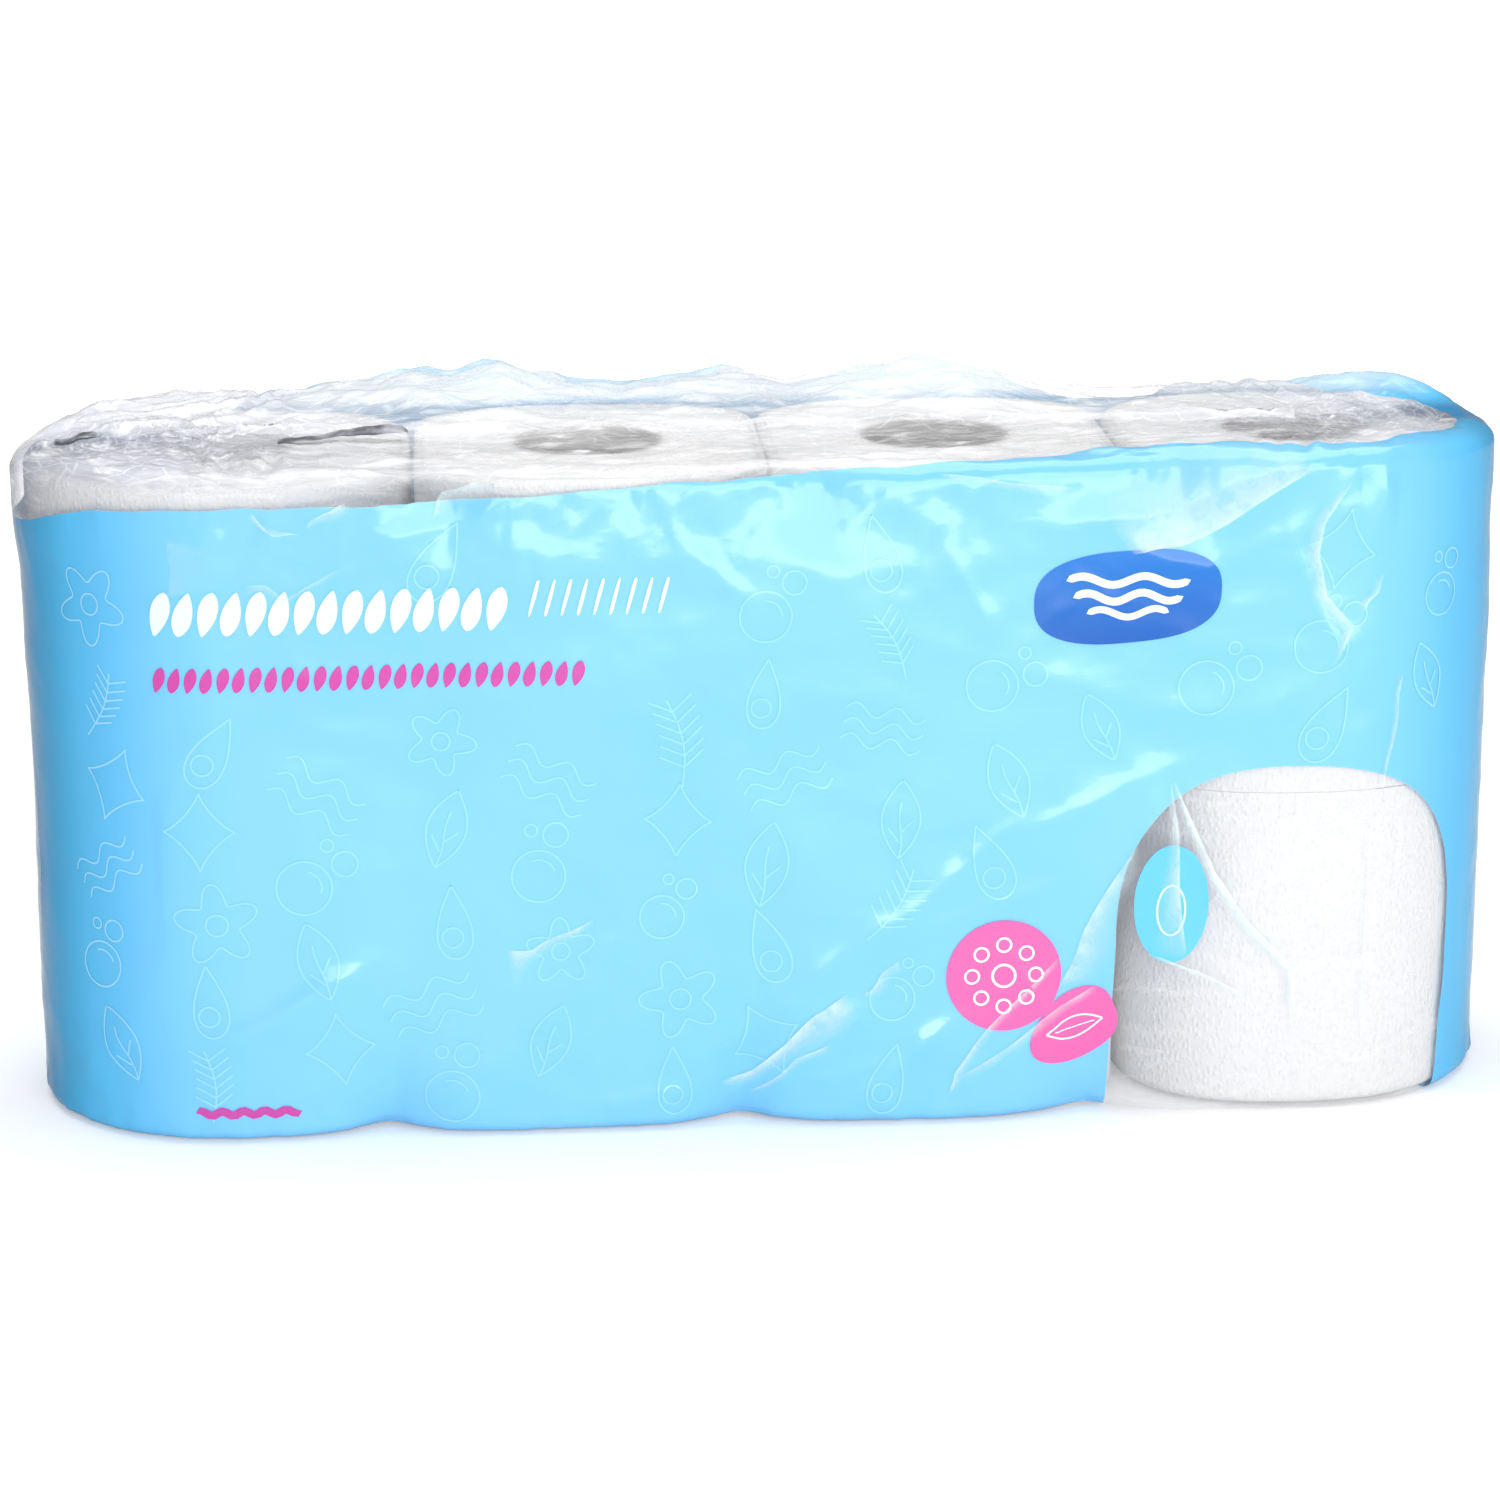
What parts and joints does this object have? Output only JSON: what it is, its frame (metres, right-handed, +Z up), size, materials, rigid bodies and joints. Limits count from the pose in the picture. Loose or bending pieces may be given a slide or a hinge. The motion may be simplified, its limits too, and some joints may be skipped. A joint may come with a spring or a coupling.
{
  "type": "toilet paper roll pack",
  "caption": "Sealed film pack of upright toilet paper rolls in two layers, with a printed front, a clear gathered top and a clear arched window.",
  "frame": {"origin": "centre of the base face that the pack stands on", "axes": "+X along the pack's length, from left to right seen from the front; +Y from front to back; +Z up"},
  "size_m": [0.441, 0.1195, 0.2145],
  "materials": {
    "tissue": "matte",
    "cardboard": "matte",
    "film": "gloss"
  },
  "bodies": {
    "root": {"paper_roll_bottom_1": "tissue", "paper_roll_bottom_2": "tissue", "paper_roll_bottom_3": "tissue", "paper_roll_bottom_4": "tissue", "paper_roll_top_1": "tissue", "paper_roll_top_2": "tissue", "paper_roll_top_3": "tissue", "paper_roll_top_4": "tissue", "core_bottom_1": "cardboard", "core_bottom_2": "cardboard", "core_bottom_3": "cardboard", "core_bottom_4": "cardboard", "core_top_1": "cardboard", "core_top_2": "cardboard", "core_top_3": "cardboard", "core_top_4": "cardboard", "film_wrap": "film"}
  },
  "joints": []
}
